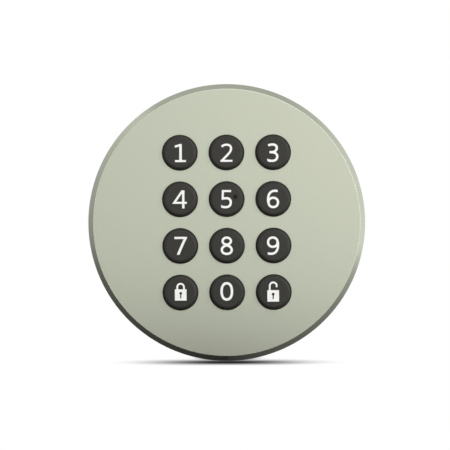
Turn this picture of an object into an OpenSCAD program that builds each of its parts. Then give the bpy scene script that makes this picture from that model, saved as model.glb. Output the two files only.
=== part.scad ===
// Round keypad for a smart lock, for a wall or a door.
//
// A turned aluminium cup carries twelve round silicone keys. Behind it lie a key
// frame, the silicone key mat, the circuit board and a moulded tray with three AAA
// cells. A short twist locks the tray under the lugs of a screwed-on wall plate.
// Millimetres throughout.
//
// Frame: the origin is the centre of the wall plate's back face, the wall is the
// XZ plane, +Z is up and the keys face -Y. Every module is drawn lying on its back,
// with +Z out of the wall and +Y up, and upright() stands it against the wall.

/* [Body] */
// Outside diameter of the housing
body_d = 78; // [78:0.5:84]
// Depth from the wall to the front face
body_depth = 21; // [21:0.25:24]
// Thickness of the housing's front face
face_t = 2; // [1.6:0.1:2.2]
// Thickness of the housing's side wall
side_t = 1.6; // [1.2:0.1:1.6]
// Width of the 45 degree chamfer round the front face
chamfer = 1.4; // [0.6:0.05:1.6]

/* [Keys] */
// Distance between key centres, across and up
key_pitch = 13.1; // [13:0.1:13.6]
// Diameter of a key's round body
key_d = 9.6; // [9:0.1:10]
// Height of the key tops above the front face
key_rise = 1.3; // [1:0.1:2]
// Radius of the rounded edge of a key's top
key_edge_r = 0.95; // [0.2:0.05:1]
// Gap all round between a key and its hole
key_gap = 0.15; // [0.15:0.05:0.3]
// How far a key travels when it is pressed
key_travel = 0.9; // [0.6:0.05:0.9]

/* [Batteries] */
// Diameter of one cell
cell_d = 10.5; // [10:0.1:10.5]
// Length of one cell, with its nub
cell_l = 44.5; // [43.5:0.1:44.5]

/* [Wall plate] */
// Thickness of the wall plate's base
plate_t = 2; // [1.8:0.1:2.2]
// Distance between the two wall screws on a level line
screw_span_across = 48; // [44:1:50]
// Distance between the two wall screws on a plumb line
screw_span_up = 59; // [58.5:0.25:59.5]
// Radius of the wall screw holes
screw_hole_r = 2.1; // [1.8:0.1:2.2]

/* [Hidden] */
$fn = 96;
eps = 0.01;

// Stations along the depth, measured from the wall
face_z = body_depth;
face_back_z = face_z - face_t;
frame_t = 1.8;
frame_z = face_back_z - frame_t;
mat_t = 1;
mat_z = frame_z - mat_t;
board_t = 1.6;
board_z = mat_z - board_t;
tray_post_h = 0.6;
tray_floor_t = 1.1;
tray_top_z = board_z - tray_post_h;
tray_floor_z = tray_top_z - tray_floor_t;
tray_z = 2.6;
cell_z = tray_floor_z - cell_d / 2;

// Housing
body_r = body_d / 2;
bore_r = body_r - side_t;
rear_gap = 0.4;
edge_r = 0.25;
rear_edge = 0.3;
boss_r = 2.6;
boss_hole_r = 1;
boss_floor = 0.2;
boss_xy = [24, 17];
board_r = bore_r - 0.9;
index_rib_w = 2;
index_rib_r = bore_r - 1.6;
index_gap = 0.3;
pin_r = 0.8;
pin_hole_r = 0.95;
pin_y = 29.5;
pin_z = board_z + 0.2;

// Keys: three columns and four rows, named from top left
key_names = ["1", "2", "3", "4", "5", "6", "7", "8", "9", "lock", "0", "unlock"];
key_count = len(key_names);
key_r = key_d / 2;
hole_r = key_r + key_gap;
key_top_z = face_z + key_rise;
key_skirt_r = key_r - 0.3;
key_foot_gap = 0.1;
key_foot_z = mat_z + mat_t + key_foot_gap;
key_step_z = key_foot_z + 1;
key_hollow_r = 3.8;
key_hollow_z = key_foot_z + 2;
post_r = 2.3;
pad_t = 0.05;
pad_split = 0.4;
pill_t = 0.25;
pill_r = 2;
pill_gap = 0.02;
pill_z = mat_z + pad_t + key_travel + pill_gap;
pip_at = [2.5, 0.7];
pip_r = 0.6;
pip_rise = 0.4;

// Key mat and key frame
mat_r = board_r - 0.9;
lip_t = 0.8;
frame_r = mat_r - lip_t - 0.2;
frame_hole_r = 6.1;
web_t = 0.35;
web_hole_r = 5.7;
web_top_gap = 0.3;
vent_w = 1.2;
vent_t = 0.3;
boss_clear_r = boss_r + 0.4;

// Wall plate and its bayonet
plate_r = bore_r - 0.5;
ring_r = bore_r - 0.7;
ring_in_r = ring_r - 1.7;
ring_top_z = 7.4;
lug_reach = 1.6;
lug_z = [5, 6.6];
lug_half = 10;
lead_in_rise = 0.5;
lead_in_run = 2.4;
detent_r = 0.5;
detent_sink = 0.25;
detent_gap = 0.35;
detent_turn = 4;
tab_half = 8;
tab_z = [3.2, 4.7];
tab_r = ring_in_r - 0.3;
bayonet_at = [45, 135, 225, 315];
stop_width = 1.5;
release_turn = 20;
seal_r = 0.7;
seal_groove = 0.9;
seal_z = 4.7;
sink_r = 3.4;
pocket_depth = 0.8;
pocket_r = [10, ring_in_r - 2];
pad_r = 5;
rib_t = 2.4;

// Battery tray
tray_r = ring_in_r - lug_reach - 0.4;
tray_wall = 1.2;
cell_pitch = cell_d + 0.4;
cell_xs = [-cell_pitch, 0, cell_pitch];
cell_up = [1, -1, 1];
bay_x = cell_pitch + cell_d / 2 + 0.1;
bay_y = 26;
cradle_r = cell_d / 2 + 0.1;
cradle_z = cell_z + 1.6;
cradle_ys = [-13, 0, 13];
cradle_w = 2.6;
scoop_r = 9;
scoop_z = tray_z - 4;
window_x = [19.3, 30.3];
window_y = 10;
tail_w = 2;
tail_x = [-cell_pitch, cell_pitch];
tray_post_r = 2.6;
shank_r = 0.95;
shank_clear_r = 1.15;
screw_head_r = 1.8;
screw_head_h = 1.3;
screw_cross = [2.2, 0.5];
screw_cross_depth = 0.7;
screw_reach = 0.4;

// Contacts
strip_t = 0.4;
strip_z = [cell_z - 3.6, cell_z + 3.9];
strip_half = 4.2;
spring_wire_r = 0.25;
spring_turns = 4;
spring_base_r = 3.8;
spring_tip_r = 2.2;
spring_sides = 6;
spring_rings = 56;

// Components on the board's underside: where they sit and their sizes
radio_at = [-24.6, 0];
radio_size = [10, 16, 0.8];
shield_at = [-24.6, -1.6];
shield_size = [8.6, 11, 1.6];
chip_at = [24.6, 5.6];
chip_size = [7, 7, 0.9];
chip_dot = [2.4, 0.4, 0.1];
crystal_at = [27.6, 0.4];
crystal_size = [1.6, 3.2, 0.8];
capacitor_xs = [20.9, 23.6];
capacitor_y = 0.4;
capacitor_size = [1.6, 3.2, 1.2];
buzzer_at = [24.6, -5.6];
buzzer_r = 3.9;
buzzer_h = 2.4;
buzzer_port = [0.7, 0.6];

board_nodes = ["circuit_board", "contact_pads", "radio_module", "radio_shield",
    "microcontroller", "crystal", "capacitors", "buzzer"];

// ---------------------------------------------------------------- helpers

// Stands a piece that is drawn lying on its back against the wall.
module upright() {
    rotate([90, 0, 0]) children();
}

// Points along an arc, from angle a to angle b.
function arc(x, y, r, a, b, steps = 5) =
    [for (i = [0:steps]) let (t = a + (b - a) * i / steps) [x + r * cos(t), y + r * sin(t)]];

// Centre of a key, counted from the top left.
function key_at(i) = [(i % 3 - 1) * key_pitch, (1.5 - floor(i / 3)) * key_pitch];

// A flat ring.
module ring(r_out, r_in, z, h) {
    translate([0, 0, z]) difference() {
        cylinder(r = r_out, h = h);
        translate([0, 0, -1]) cylinder(r = r_in, h = h + 2);
    }
}

// A block bent round the axis, from angle a to angle b.
module arc_block(r_in, r_out, z, a, b) {
    rotate([0, 0, a]) rotate_extrude(angle = b - a)
        translate([r_in, z[0]]) square([r_out - r_in, z[1] - z[0]]);
}

// A box centred on x and y, standing on z.
module slab(x, y, z, size) {
    translate([x - size[0] / 2, y - size[1] / 2, z]) cube(size);
}

// Half section of a disc with a rounded top edge, for keys.
module rounded_disc_profile(r, z, top, edge) {
    translate([0, z]) square([r - edge, top - z]);
    translate([0, z]) square([r, top - z - edge]);
    translate([r - edge, top - edge]) circle(r = edge);
}

// Runs its child at the four screw bosses.
module at_bosses() {
    for (x = [-1, 1], y = [-1, 1])
        translate([x * boss_xy[0], y * boss_xy[1], 0]) children();
}

// Runs its child at the two pins that line up the key frame, the mat and the board.
module at_pins() {
    for (side = [-1, 1]) translate([0, side * pin_y, 0]) children();
}

// Runs its child at the twelve keys.
module at_keys() {
    for (i = [0:key_count - 1]) translate(key_at(i)) children();
}

// ---------------------------------------------------------------- wall side

// A countersunk hole for a wall screw, head towards the room.
module wall_screw_hole() {
    translate([0, 0, -1]) cylinder(r = screw_hole_r, h = plate_t + 2);
    translate([0, 0, plate_t - (sink_r - screw_hole_r)])
        cylinder(r1 = screw_hole_r, r2 = sink_r, h = sink_r - screw_hole_r);
    translate([0, 0, plate_t - eps]) cylinder(r = sink_r, h = 1);
}

// Runs its child at the four wall screws.
module at_wall_screws() {
    for (side = [-1, 1]) {
        translate([side * screw_span_across / 2, 0, 0]) children();
        translate([0, side * screw_span_up / 2, 0]) children();
    }
}

// The pockets that core out the plate's back between its cross ribs.
module plate_pockets() {
    difference() {
        ring(pocket_r[1], pocket_r[0], -1, 1 + pocket_depth);
        for (turn = [0, 90]) rotate([0, 0, turn])
            slab(0, 0, -2, [2 * body_r, rib_t, plate_t + 4]);
        at_wall_screws() translate([0, 0, -2]) cylinder(r = pad_r, h = plate_t + 4);
    }
}

// The wedge that eases an edge on the plane z = 0, rising along +Y up to y = 0.
module lead_in() {
    translate([-lug_reach, -lead_in_run, 0]) rotate([atan(lead_in_rise / lead_in_run), 0, 0])
        translate([0, 0, -1]) cube([2 * lug_reach, 2 * lead_in_run, 1]);
}

// A ridge or a groove across the bayonet, at angle a.
module detent(a, r) {
    rotate([0, 0, a]) translate([ring_in_r - lug_reach, 0, lug_z[0] + detent_sink])
        rotate([0, 90, 0]) cylinder(r = r, h = lug_reach + eps);
}

// One bayonet lug at angle a, with its ridge, its stop and the stop for the open end.
module lug(a) {
    open_end = a + tab_half + release_turn + 1;
    difference() {
        arc_block(ring_in_r - lug_reach, ring_in_r + eps, lug_z, a - lug_half, a + lug_half);
        rotate([0, 0, a + lug_half]) translate([ring_in_r - lug_reach / 2, 0, lug_z[0]]) lead_in();
    }
    detent(a + detent_turn, detent_r);
    arc_block(ring_in_r - lug_reach, ring_in_r + eps, [plate_t - eps, lug_z[1]],
        a - lug_half, a - lug_half + stop_width);
    arc_block(ring_in_r - lug_reach, ring_in_r + eps, [plate_t - eps, tab_z[1]],
        open_end, open_end + stop_width);
}

module wall_plate() {
    color("#26272a") difference() {
        union() {
            cylinder(r = plate_r, h = plate_t);
            ring(ring_r, ring_in_r, 0, ring_top_z);
            for (a = bayonet_at) lug(a);
        }
        ring(ring_r + 1, ring_r - seal_groove, seal_z - seal_r - 0.1, 2 * seal_r + 0.2);
        plate_pockets();
        at_wall_screws() wall_screw_hole();
    }
}

module rim_seal() {
    color("#3a3a3c") translate([0, 0, seal_z]) rotate_extrude()
        translate([ring_r - seal_groove + seal_r, 0]) circle(r = seal_r);
}

// ---------------------------------------------------------------- front

// Half section of the turned cup, with softened edges at both ends of the chamfer.
module housing_profile() {
    soft = edge_r * tan(22.5);
    polygon(concat(
        [[0, face_back_z], [bore_r, face_back_z], [bore_r, rear_gap],
            [body_r - rear_edge, rear_gap], [body_r, rear_gap + rear_edge]],
        arc(body_r - edge_r, face_z - chamfer - soft, edge_r, 0, 45),
        arc(body_r - chamfer - soft, face_z - edge_r, edge_r, 45, 90),
        [[0, face_z]]));
}

// The rib at the bottom that turns the board the right way round, from radius r outwards.
module index_rib(w, r) {
    middle = (r + bore_r + eps) / 2;
    slab(0, -middle, board_z, [w, bore_r + eps - r, face_back_z - board_z + eps]);
}

module front_housing() {
    color("#b9bca6") difference() {
        union() {
            rotate_extrude() housing_profile();
            index_rib(index_rib_w, index_rib_r);
            at_bosses() translate([0, 0, mat_z])
                cylinder(r = boss_r, h = face_back_z - mat_z + eps);
        }
        at_keys() translate([0, 0, face_back_z - 1]) cylinder(r = hole_r, h = face_t + 2);
        at_bosses() translate([0, 0, mat_z - 1])
            cylinder(r = boss_hole_r, h = face_back_z - boss_floor - mat_z + 1);
    }
}

module key_frame() {
    color("#33363a") difference() {
        union() {
            translate([0, 0, frame_z]) cylinder(r = frame_r, h = frame_t);
            at_pins() translate([0, 0, pin_z]) cylinder(r = pin_r, h = frame_z - pin_z + eps);
        }
        at_keys() translate([0, 0, frame_z - 1]) cylinder(r = frame_hole_r, h = frame_t + 2);
        at_bosses() translate([0, 0, frame_z - 1])
            cylinder(r = boss_clear_r, h = frame_t + 2);
    }
}

module key_mat() {
    color("#2b2b2b") difference() {
        union() {
            translate([0, 0, mat_z]) cylinder(r = mat_r, h = mat_t);
            ring(mat_r, mat_r - lip_t, mat_z, mat_t + frame_t);
        }
        at_keys() translate([0, 0, mat_z - 1]) cylinder(r = web_hole_r, h = mat_t + 2);
        at_bosses() translate([0, 0, mat_z - 1]) cylinder(r = boss_clear_r, h = mat_t + 2);
        at_pins() translate([0, 0, mat_z - 1]) cylinder(r = pin_hole_r, h = mat_t + 2);
        board_vents();
    }
}

// Shallow channels under the mat, which let the air out from under a pressed key.
module board_vents() {
    for (row = [0:3])
        slab(0, (1.5 - row) * key_pitch, mat_z - 1, [2 * key_pitch, vent_w, 1 + vent_t]);
    for (column = [-1:1])
        slab(column * key_pitch, 0, mat_z - 1, [vent_w, 3 * key_pitch, 1 + vent_t]);
}

// The thin cones that carry the keys on the mat and fold when a key goes down.
module key_webs() {
    low = mat_z + mat_t;
    high = key_step_z - web_top_gap;
    color("#2b2b2b") at_keys() rotate_extrude() polygon([
        [web_hole_r, low - web_t], [web_hole_r, low], [key_skirt_r + web_t, high],
        [key_skirt_r, high], [key_skirt_r, high - web_t], [web_hole_r - web_t, low - web_t]]);
}

// One key: a rounded plug, hollow underneath round the post that carries its pill.
module key(i) {
    color("#3b3b39") translate(key_at(i)) {
        rotate_extrude() difference() {
            union() {
                rounded_disc_profile(key_r, key_step_z, key_top_z, key_edge_r);
                translate([0, key_foot_z]) square([key_skirt_r, key_step_z - key_foot_z + eps]);
            }
            translate([post_r, key_foot_z - 1])
                square([key_hollow_r - post_r, key_hollow_z - key_foot_z + 1]);
            translate([0, key_foot_z - 1])
                square([post_r + eps, pill_z + pill_t - key_foot_z + 1]);
        }
        if (key_names[i] == "5")
            translate([pip_at[0], pip_at[1], key_top_z + pip_rise - pip_r]) sphere(r = pip_r);
    }
}

module carbon_pill(i) {
    color("#161616") translate(key_at(i)) translate([0, 0, pill_z])
        cylinder(r = pill_r, h = pill_t);
}

// ---------------------------------------------------------------- electronics

module circuit_board() {
    color("#1f5c3a") difference() {
        translate([0, 0, board_z]) cylinder(r = board_r, h = board_t);
        at_bosses() translate([0, 0, board_z - 1]) cylinder(r = shank_clear_r, h = board_t + 2);
        at_pins() translate([0, 0, board_z - 1]) cylinder(r = pin_hole_r, h = board_t + 2);
        translate([0, 0, -1]) index_rib(index_rib_w + 2 * index_gap, index_rib_r - index_gap);
    }
}

// Two half discs under each key, which its pill bridges.
module contact_pads() {
    color("#d7b45a") at_keys() translate([0, 0, mat_z]) difference() {
        cylinder(r = post_r, h = pad_t);
        slab(0, 0, -1, [pad_split, 2 * post_r + 1, 2]);
    }
}

// A box that hangs under the board.
module component(at, size) {
    slab(at[0], at[1], board_z - size[2], size);
}

// The radio and the controller sit in the tray's two windows.
module radio_module() {
    color("#205038") component(radio_at, radio_size);
}

module radio_shield() {
    color("#c4c6c8") translate([0, 0, -radio_size[2]]) component(shield_at, shield_size);
}

module microcontroller() {
    color("#1b1b1d") difference() {
        component(chip_at, chip_size);
        translate([chip_at[0] + chip_dot[0], chip_at[1] + chip_dot[0],
            board_z - chip_size[2] - 1]) cylinder(r = chip_dot[1], h = 1 + chip_dot[2]);
    }
}

module crystal() {
    color("#c9cacc") component(crystal_at, crystal_size);
}

module capacitors() {
    color("#c98a3a") for (x = capacitor_xs) component([x, capacitor_y], capacitor_size);
}

module buzzer() {
    color("#202022") translate([buzzer_at[0], buzzer_at[1], board_z - buzzer_h]) difference() {
        cylinder(r = buzzer_r, h = buzzer_h);
        translate([0, 0, -1]) cylinder(r = buzzer_port[0], h = 1 + buzzer_port[1]);
    }
}

// ---------------------------------------------------------------- power

// One bayonet tab at angle a, eased where it slips under its lug and grooved for the ridge.
module tab(a) {
    difference() {
        arc_block(tray_r - eps, tab_r, tab_z, a - tab_half, a + tab_half);
        rotate([0, 0, a - tab_half]) translate([tray_r + lug_reach / 2, 0, tab_z[1]])
            mirror([0, 1, 0]) mirror([0, 0, 1]) lead_in();
        detent(a + detent_turn, detent_r + detent_gap);
    }
}

// Moulded tray: skirt with bayonet tabs, cell bay with cradles, finger scoops,
// windows for the tall components and posts that the circuit board is clamped on.
module battery_tray() {
    bay = [2 * (bay_x + tray_wall), 2 * (bay_y + tray_wall)];
    color("#2c2d30") difference() {
        union() {
            ring(tray_r, tray_r - tray_wall, tray_z, tray_top_z - tray_z);
            translate([0, 0, tray_floor_z]) cylinder(r = tray_r, h = tray_floor_t);
            intersection() {
                slab(0, 0, tray_z, [bay[0], bay[1], tray_top_z - tray_z]);
                translate([0, 0, tray_z]) cylinder(r = tray_r, h = tray_top_z - tray_z);
            }
            for (a = bayonet_at) tab(a);
            at_bosses() translate([0, 0, tray_floor_z])
                cylinder(r = tray_post_r, h = board_z - tray_floor_z);
        }
        cell_bay();
        translate([0, 0, scoop_z]) rotate([0, 90, 0])
            cylinder(r = scoop_r, h = bay[0] + 1, center = true);
        for (side = [-1, 1]) {
            slab(side * (window_x[0] + window_x[1]) / 2, 0, tray_floor_z - 1,
                [window_x[1] - window_x[0], 2 * window_y, tray_floor_t + 2]);
            slab(tail_x[(side + 1) / 2], side * (bay_y - strip_t / 2), tray_floor_z - 1,
                [tail_w + 0.4, strip_t + 0.3, tray_floor_t + 2]);
        }
        at_bosses() translate([0, 0, tray_floor_z - 1])
            cylinder(r = shank_clear_r, h = tray_floor_t + tray_post_h + 2);
    }
}

// The space the three cells and their contacts take, with cradle ribs left between.
module cell_bay() {
    difference() {
        slab(0, 0, tray_z - 1, [2 * bay_x, 2 * bay_y, tray_floor_z - tray_z + 1]);
        difference() {
            for (y = cradle_ys)
                slab(0, y, cradle_z, [2 * bay_x + 1, cradle_w, tray_floor_z - cradle_z + 1]);
            for (x = cell_xs) translate([x, 0, cell_z + 0.1]) rotate([90, 0, 0])
                cylinder(r = cradle_r, h = 60, center = true);
        }
    }
}

// One AAA cell. Its nub points up for a positive sign.
module battery(i) {
    nub_r = 1.9;
    nub_h = 1;
    nub_edge = 0.2;
    dish_r = 3.4;
    dish_depth = 0.3;
    shoulder = 0.5;
    top = bay_y - strip_t;
    can_h = cell_l - nub_h;
    color("#8f9599") translate([cell_xs[i], 0, cell_z]) rotate([cell_up[i] > 0 ? -90 : 90, 0, 0])
        translate([0, 0, top - cell_l]) rotate_extrude() polygon(concat(
            [[0, dish_depth], [dish_r, dish_depth], [dish_r + nub_edge, 0]],
            arc(cell_d / 2 - shoulder, shoulder, shoulder, -90, 0),
            arc(cell_d / 2 - shoulder, can_h - shoulder, shoulder, 0, 90),
            [[nub_r, can_h], [nub_r, cell_l - nub_edge], [nub_r - nub_edge, cell_l], [0, cell_l]]));
}

// A flat contact across one or two cells, from x0 to x1, at the bay's upper (1) or
// lower (-1) end, with a tail up to the board if it ends the chain.
module contact_strip(x0, x1, end, tail) {
    y = end * (bay_y - strip_t / 2);
    middle = (x0 + x1) / 2;
    slab(middle, y, strip_z[0], [x1 - x0 + 2 * strip_half, strip_t, strip_z[1] - strip_z[0]]);
    if (tail) slab(middle, y, strip_z[1] - eps, [tail_w, strip_t, board_z - strip_z[1] + eps]);
}

module contact_strips() {
    color("#c9c4b4") {
        contact_strip(cell_xs[0], cell_xs[1], 1, false);
        contact_strip(cell_xs[2], cell_xs[2], 1, true);
        contact_strip(cell_xs[0], cell_xs[0], -1, true);
        contact_strip(cell_xs[1], cell_xs[2], -1, false);
    }
}

// Conical spring of round wire, standing on z = 0, as rings of points along a helix.
module cone_spring(h) {
    span = h - 2 * spring_wire_r;
    points = [for (k = [0:spring_rings]) let (
            t = k / spring_rings,
            turn = 360 * spring_turns * t,
            r = spring_base_r + (spring_tip_r - spring_base_r) * t,
            ease = t * t * (3 - 2 * t))
        for (j = [0:spring_sides - 1]) let (
            a = 360 * (j + 0.5) / spring_sides,
            out = r + spring_wire_r * cos(a))
            [out * cos(turn), out * sin(turn),
                spring_wire_r + span * ease + spring_wire_r * sin(a)]];
    walls = [for (k = [0:spring_rings - 1], j = [0:spring_sides - 1]) let (
            n = (j + 1) % spring_sides, here = k * spring_sides, next = here + spring_sides)
        [here + j, next + j, next + n, here + n]];
    last = spring_rings * spring_sides;
    caps = [[for (j = [0:spring_sides - 1]) j],
        [for (j = [spring_sides - 1:-1:0]) last + j]];
    polyhedron(points = points, faces = concat(walls, caps), convexity = 6);
}

// A spring presses on the flat end of each cell.
module contact_springs() {
    room = 2 * (bay_y - strip_t) - cell_l;
    color("#d2d4d6") for (i = [0:2])
        translate([cell_xs[i], -cell_up[i] * (bay_y - strip_t), cell_z])
            rotate([cell_up[i] > 0 ? -90 : 90, 0, 0]) cone_spring(room);
}

// Pan-head screws that clamp the tray, board and mat to the housing.
module tray_screws() {
    length = face_back_z - screw_reach - tray_floor_z;
    color("#b8babd") at_bosses() translate([0, 0, tray_floor_z]) difference() {
        union() {
            cylinder(r = shank_r, h = length);
            translate([0, 0, -screw_head_h]) cylinder(r = screw_head_r, h = screw_head_h);
        }
        for (turn = [0, 90]) rotate([0, 0, turn])
            slab(0, 0, -screw_head_h - 1, [screw_cross[0], screw_cross[1], 1 + screw_cross_depth]);
    }
}

// ---------------------------------------------------------------- nodes

upright() wall_plate();
upright() rim_seal();
upright() front_housing();
upright() key_frame();
upright() key_mat();
upright() key_webs();
for (i = [0:key_count - 1]) {
    upright() key(i);
    upright() carbon_pill(i);
}
upright() circuit_board();
upright() contact_pads();
upright() radio_module();
upright() radio_shield();
upright() microcontroller();
upright() crystal();
upright() capacitors();
upright() buzzer();
upright() battery_tray();
upright() contact_strips();
upright() contact_springs();
upright() battery(0);  // battery_1
upright() battery(1);  // battery_2
upright() battery(2);  // battery_3
upright() tray_screws();
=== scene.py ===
"""Looks of a round wall keypad for a smart lock.

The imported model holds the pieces, their places and their motion. This script dresses them:
it turns the housing, the keys and the folding webs finely, prints the keys' legends, winds
the cell springs, threads the screws, and gives every other piece a finish of its own.

Places are written as across, up and out. Across is the row's +X, up its +Z, and out is the
distance from the wall, which is the row's -Y.
"""

import logging
import math
from dataclasses import dataclass, field
from enum import Enum
from typing import Callable, ClassVar, Iterable, Sequence

import bmesh
import bpy
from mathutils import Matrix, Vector
from mathutils.geometry import delaunay_2d_cdt


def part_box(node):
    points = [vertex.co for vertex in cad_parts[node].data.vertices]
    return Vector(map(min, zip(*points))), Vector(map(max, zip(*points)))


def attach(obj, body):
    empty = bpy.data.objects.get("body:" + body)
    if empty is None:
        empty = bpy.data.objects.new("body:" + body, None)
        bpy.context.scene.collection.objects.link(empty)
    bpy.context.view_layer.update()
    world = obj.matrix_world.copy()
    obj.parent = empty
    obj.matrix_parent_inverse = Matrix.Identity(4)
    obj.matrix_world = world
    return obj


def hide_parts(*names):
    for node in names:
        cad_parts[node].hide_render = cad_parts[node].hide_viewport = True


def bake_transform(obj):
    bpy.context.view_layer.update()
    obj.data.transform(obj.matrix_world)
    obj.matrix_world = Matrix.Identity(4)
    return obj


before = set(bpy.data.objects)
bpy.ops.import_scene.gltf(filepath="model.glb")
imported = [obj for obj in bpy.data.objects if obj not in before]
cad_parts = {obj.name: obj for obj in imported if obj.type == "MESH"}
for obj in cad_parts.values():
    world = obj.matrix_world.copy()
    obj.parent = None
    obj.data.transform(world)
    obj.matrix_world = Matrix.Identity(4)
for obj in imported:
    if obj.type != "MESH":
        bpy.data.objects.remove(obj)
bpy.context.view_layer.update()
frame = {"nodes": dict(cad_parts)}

LOG = logging.getLogger("keypad")
MM = 0.001
# How far from a round its support points lie, on the flats beside it.
SUPPORT = 0.03 * MM

Pair = tuple[float, float]
Triple = tuple[float, float, float]
Colour = Triple
Vert = bmesh.types.BMVert
Socket = bpy.types.NodeSocket
Tree = bpy.types.NodeTree


# ---------------------------------------------------------------- places


def row_point(across: float, up: float, out: float) -> Vector:
    """Turns a place in across, up and out into the row's own X, Y and Z."""
    return Vector((across, -out, up))


def spoke(radius: float, step: int, steps: int) -> Pair:
    """The tip of one of many equal spokes, counted round from the first."""
    turn = 2 * math.pi * step / steps
    return radius * math.cos(turn), radius * math.sin(turn)


@dataclass(frozen=True)
class Extent:
    """How far a CAD node reaches, in across, up and out."""

    left: float
    right: float
    bottom: float
    top: float
    back: float
    front: float

    @classmethod
    def of(cls, node: str) -> "Extent":
        """Reads the extent of a CAD node at rest.

        Args:
            node: The node's name.

        Returns:
            Its extent in metres.
        """
        low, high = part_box(node)
        return cls(low.x, high.x, low.z, high.z, -high.y, -low.y)

    @property
    def centre(self) -> Pair:
        """The middle of the node, across and up."""
        return (self.left + self.right) / 2, (self.bottom + self.top) / 2

    @property
    def radius(self) -> float:
        """Half the node's width, which is a round node's radius."""
        return (self.right - self.left) / 2


class KeyName(Enum):
    """The twelve keys, in the order of the rows."""

    ONE = "1"
    TWO = "2"
    THREE = "3"
    FOUR = "4"
    FIVE = "5"
    SIX = "6"
    SEVEN = "7"
    EIGHT = "8"
    NINE = "9"
    LOCK = "lock"
    ZERO = "0"
    UNLOCK = "unlock"

    @property
    def node(self) -> str:
        """The CAD node of the key itself."""
        return f"key_{self.value}"

    @property
    def pill(self) -> str:
        """The CAD node of the carbon pill under the key."""
        return f"carbon_pill_{self.value}"

    @property
    def body(self) -> str:
        """The CAD body that the key rides on."""
        return f"key_{self.value}_body"


UNIT_BODY = "keypad_unit"


# ---------------------------------------------------------------- outlines


def arc_points(centre: Pair, radii: Pair, start: float, end: float, steps: int) -> list[Pair]:
    """Points along an elliptical arc.

    Args:
        centre: The middle of the ellipse.
        radii: Its half width and half height.
        start: The first point's angle, in degrees.
        end: The last point's angle, in degrees.
        steps: How many steps the arc takes.

    Returns:
        The points, both ends included.
    """
    points = []
    for k in range(steps + 1):
        turn = math.radians(start + (end - start) * k / steps)
        x, y = radii[0] * math.cos(turn), radii[1] * math.sin(turn)
        points.append((centre[0] + x, centre[1] + y))
    return points


def softened(corners: Sequence[Triple], steps: int = 8) -> list[Pair]:
    """Rounds the corners of an open outline, and keeps the flats beside them flat.

    Args:
        corners: Each corner's two coordinates and its radius, 0 for a sharp one.
        steps: How many steps each round takes.

    Returns:
        The outline with its rounds, and a close support point on either side of each.
    """
    outline: list[Pair] = [corners[0][:2]]
    for before, here, after in zip(corners, corners[1:], corners[2:]):
        radius = here[2]
        if radius <= 0:
            outline.append(here[:2])
            continue
        corner = Vector(here[:2])
        back = (Vector(before[:2]) - corner).normalized()
        ahead = (Vector(after[:2]) - corner).normalized()
        half = back.angle(ahead) / 2
        reach = radius / math.tan(half)
        middle = corner + (back + ahead).normalized() * (radius / math.sin(half))
        first, last = corner + back * reach, corner + ahead * reach
        outline.append(tuple(first + back * SUPPORT))
        arm = first - middle
        spread = arm.angle_signed(last - middle)
        for k in range(steps + 1):
            turn = -spread * k / steps
            outline.append((
                middle.x + arm.x * math.cos(turn) - arm.y * math.sin(turn),
                middle.y + arm.x * math.sin(turn) + arm.y * math.cos(turn),
            ))
        outline.append(tuple(last + ahead * SUPPORT))
    outline.append(corners[-1][:2])
    return outline


class Pen:
    """Draws a centre line in millimetres, with straight runs, bends and rounded loops."""

    bend_steps = 14
    loop_steps = 64

    def __init__(self, x: float, y: float) -> None:
        """Starts the line at a point."""
        self.points: list[Pair] = [(x, y)]
        self.closed = False

    def line(self, x: float, y: float) -> "Pen":
        """Goes straight to a point."""
        self.points.append((x, y))
        return self

    def curve(self, first: Pair, second: Pair, end: Pair) -> "Pen":
        """Bends to a point.

        Args:
            first: The handle of the point that the line is at.
            second: The handle of the end point.
            end: The end point.

        Returns:
            The pen itself, for the next stroke.
        """
        start = self.points[-1]
        for k in range(1, self.bend_steps + 1):
            t = k / self.bend_steps
            weights = ((1 - t) ** 3, 3 * t * (1 - t) ** 2, 3 * t * t * (1 - t), t ** 3)
            self.points.append(tuple(
                sum(w * p[axis] for w, p in zip(weights, (start, first, second, end)))
                for axis in (0, 1)
            ))
        return self

    @classmethod
    def loop(cls, centre: Pair, radii: Pair, squareness: float) -> "Pen":
        """Draws a closed rounded loop.

        Args:
            centre: The loop's middle.
            radii: Its half width and half height.
            squareness: 2 for an ellipse, and more for fuller shoulders.

        Returns:
            The pen with the whole loop drawn.
        """
        points = []
        for k in range(cls.loop_steps):
            c, s = spoke(1.0, k, cls.loop_steps)
            points.append((
                centre[0] + radii[0] * math.copysign(abs(c) ** (2 / squareness), c),
                centre[1] + radii[1] * math.copysign(abs(s) ** (2 / squareness), s),
            ))
        pen = cls(*points[0])
        pen.points = points
        pen.closed = True
        return pen


def loop_pairs(items: Sequence) -> list[tuple]:
    """Pairs each item with the next, and the last with the first."""
    return list(zip(items, (*items[1:], items[0])))


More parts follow.
